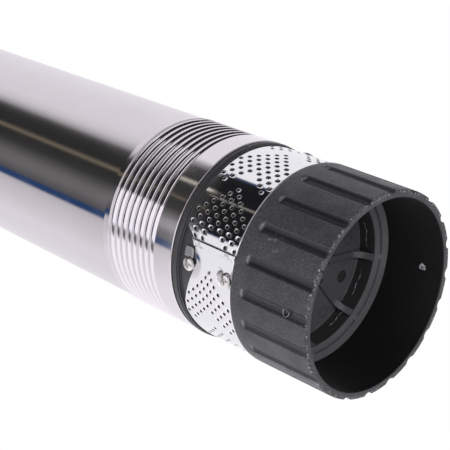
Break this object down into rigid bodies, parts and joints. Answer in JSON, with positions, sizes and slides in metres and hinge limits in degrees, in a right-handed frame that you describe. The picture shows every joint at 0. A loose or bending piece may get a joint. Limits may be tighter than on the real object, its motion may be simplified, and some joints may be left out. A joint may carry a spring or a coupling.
{
  "type": "submersible well pump",
  "caption": "Slim upright submersible well pump: stainless shell with ribbed end, perforated intake strainer, fluted foot bell, threaded discharge head and check valve.",
  "frame": {"origin": "centre of the foot bell's rim plane, on the pump's axis", "axes": "+Z along the pump's axis, from the foot bell to the discharge thread; +Y towards the cable gland"},
  "size_m": [0.0987, 0.098, 0.536],
  "materials": {
    "polished_steel": "polished",
    "strainer_steel": "bright",
    "screw_steel": "bright",
    "black_plastic": "fine texture",
    "plate_plastic": "smooth moulded",
    "cast_steel": "machined casting",
    "gland_brass": "nickel plated",
    "rubber": "matt",
    "stage_plastic": "moulded",
    "impeller_plastic": "moulded",
    "wear_steel": "turned",
    "shaft_steel": "ground",
    "cast_iron": "machined",
    "ceramic": "lapped",
    "carbon": "lapped",
    "spring_steel": "drawn",
    "bronze": "turned",
    "core_steel": "laminated",
    "copper": "enamelled wire",
    "aluminium": "cast",
    "capacitor_case": "satin"
  },
  "bodies": {
    "pump_body": {"cable_gland_body": "gland_brass", "cable_gland_nut": "gland_brass", "cable_grommet": "rubber", "can_top_cover": "cast_iron", "capacitor_tray": "stage_plastic", "cover_inlet": "rubber", "cover_seal_ring": "rubber", "diffuser_1": "stage_plastic", "diffuser_2": "stage_plastic", "diffuser_3": "stage_plastic", "discharge_head": "cast_steel", "foot_bell": "black_plastic", "head_seal_ring": "rubber", "housing_seal_ring": "rubber", "intake_end_plate": "plate_plastic", "lower_bearing_bush": "bronze", "motor_can": "wear_steel", "motor_clamp": "cast_steel", "neck_ring_1": "wear_steel", "neck_ring_2": "wear_steel", "neck_ring_3": "wear_steel", "outer_shell": "polished_steel", "seal_housing": "cast_iron", "seal_seat": "ceramic", "start_capacitor": "capacitor_case", "stator_core": "core_steel", "stator_winding": "copper", "strainer": "strainer_steel", "strainer_screws": "screw_steel", "suction_casing": "black_plastic", "suction_seal_ring": "rubber", "thermal_protector": "capacitor_case", "thrust_washer": "carbon", "upper_bearing_bush": "bronze", "upper_bracket": "cast_iron", "valve_guide": "wear_steel", "valve_seat": "wear_steel", "valve_spring": "spring_steel"},
    "rotor": {"shaft": "shaft_steel", "shaft_key": "shaft_steel", "impeller_1": "impeller_plastic", "impeller_2": "impeller_plastic", "impeller_3": "impeller_plastic", "impeller_spacers": "wear_steel", "impeller_washer": "wear_steel", "impeller_nut": "wear_steel", "seal_ring": "carbon", "seal_spring": "spring_steel", "seal_collar": "wear_steel", "thrust_collar": "wear_steel", "rotor_core": "core_steel", "rotor_end_rings": "aluminium"},
    "valve": {"valve_poppet": "bronze"}
  },
  "joints": [
    {"name": "rotor_spin", "type": "hinge", "parent": "pump_body", "child": "rotor", "pos_m": [0, 0, 0.2], "axis": [0, 0, 1], "continuous": true},
    {"name": "valve_lift", "type": "slide", "parent": "pump_body", "child": "valve", "axis": [0, 0, 1], "range_m": [0, 0.006], "stiffness_N_per_m": 120, "springref_m": -0.004, "deforming": ["valve_spring"]}
  ]
}
